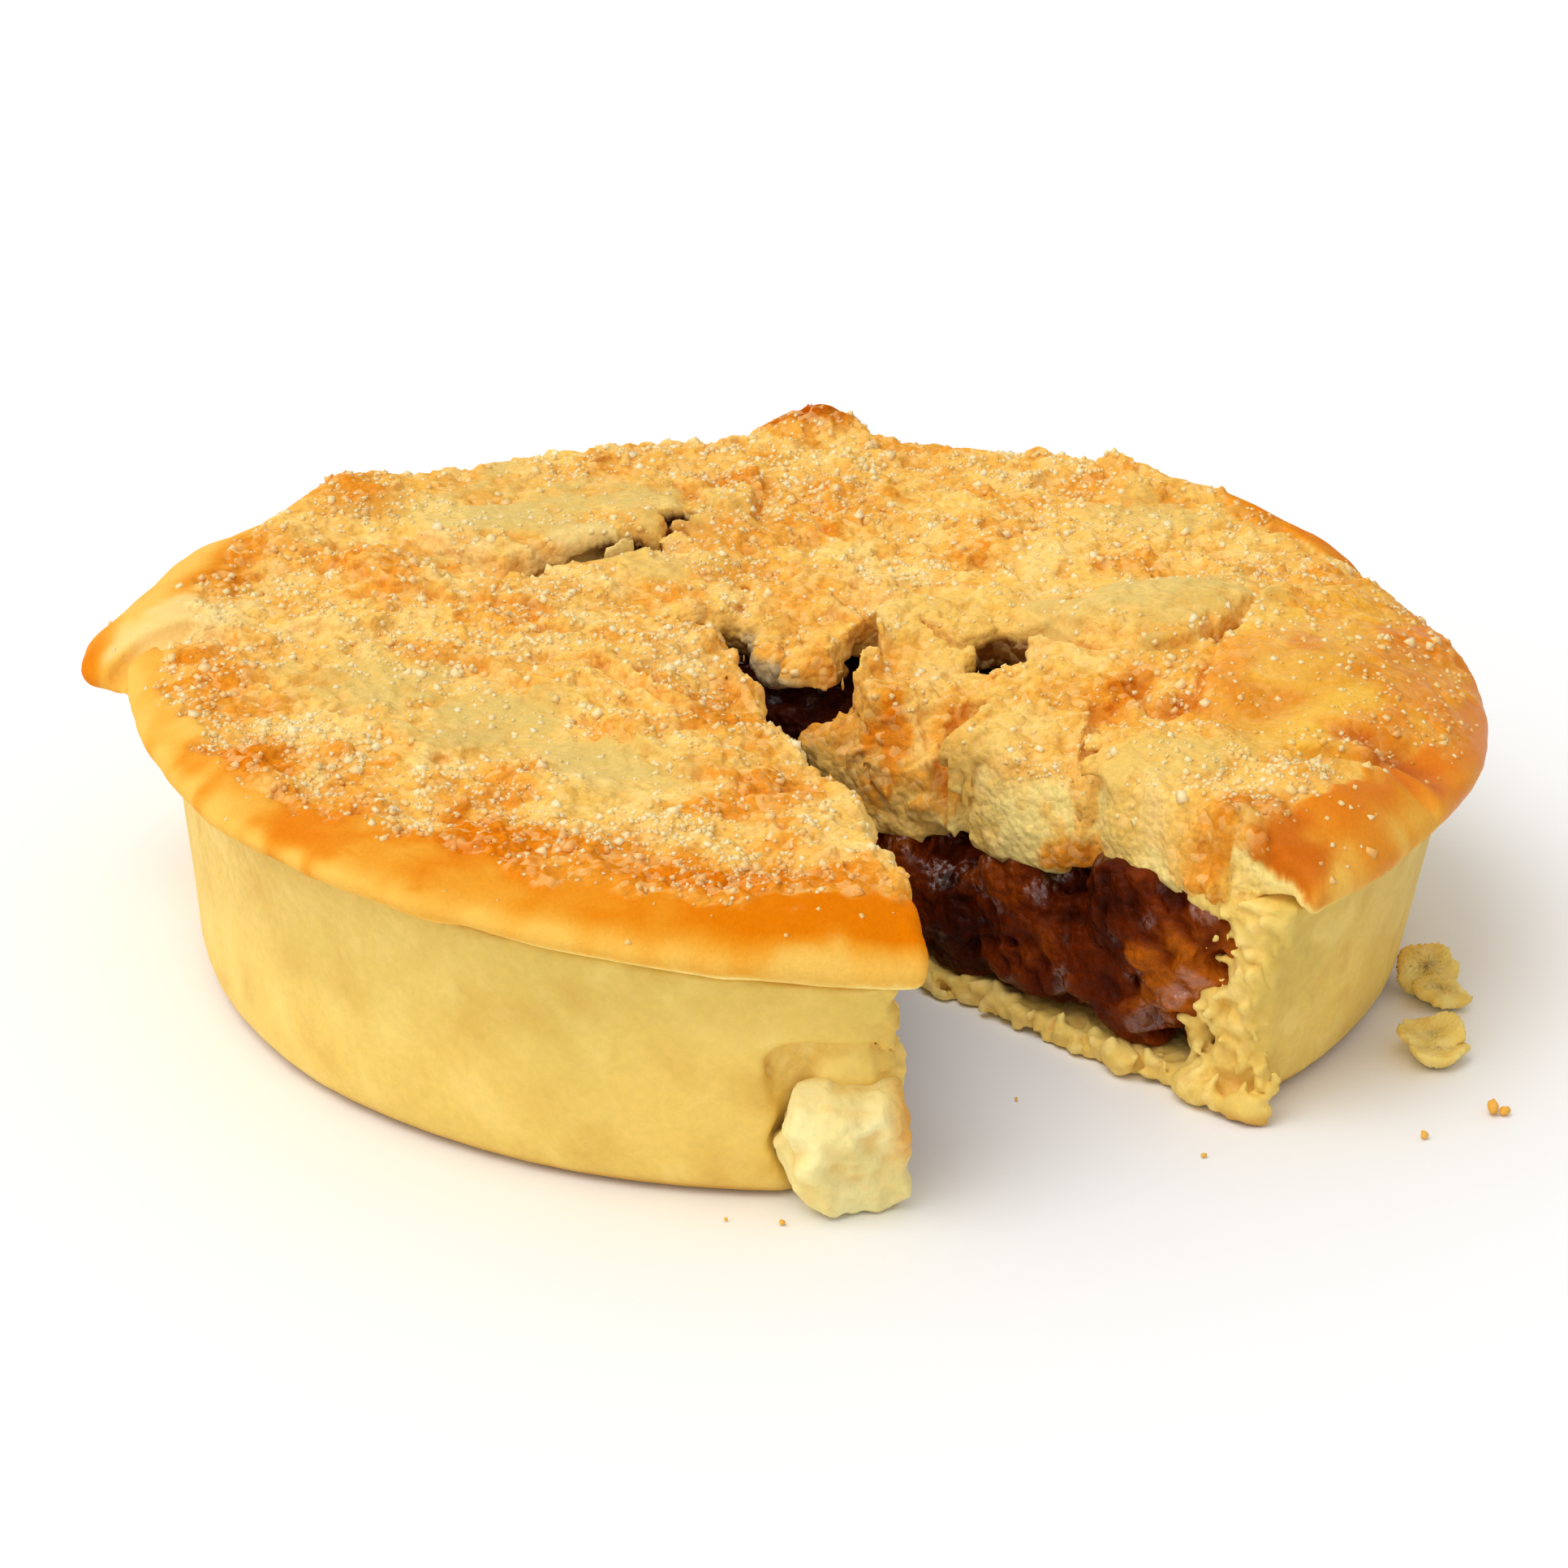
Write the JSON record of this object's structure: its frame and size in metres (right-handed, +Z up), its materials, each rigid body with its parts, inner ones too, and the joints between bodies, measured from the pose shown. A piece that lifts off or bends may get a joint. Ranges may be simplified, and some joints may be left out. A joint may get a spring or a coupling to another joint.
{
  "type": "apple pie",
  "caption": "Small deep round apple pie with a rough sugared shortcrust lid, a leaning pastry case and a wedge cut out that shows the dark apple filling.",
  "frame": {"origin": "on the surface the pie stands on, under the middle of its box", "axes": "+Z up; the pictured side with the cut faces -Y; +X is to the right of that view"},
  "size_m": [0.125, 0.1196, 0.0291],
  "materials": {
    "case_pastry": "matt",
    "apple_filling": "glossy",
    "lid_pastry": "matt",
    "broken_pastry": "matt"
  },
  "bodies": {
    "root": {"case": "case_pastry", "filling": "apple_filling", "lid": "lid_pastry", "crust_chunk": "broken_pastry"}
  },
  "joints": []
}
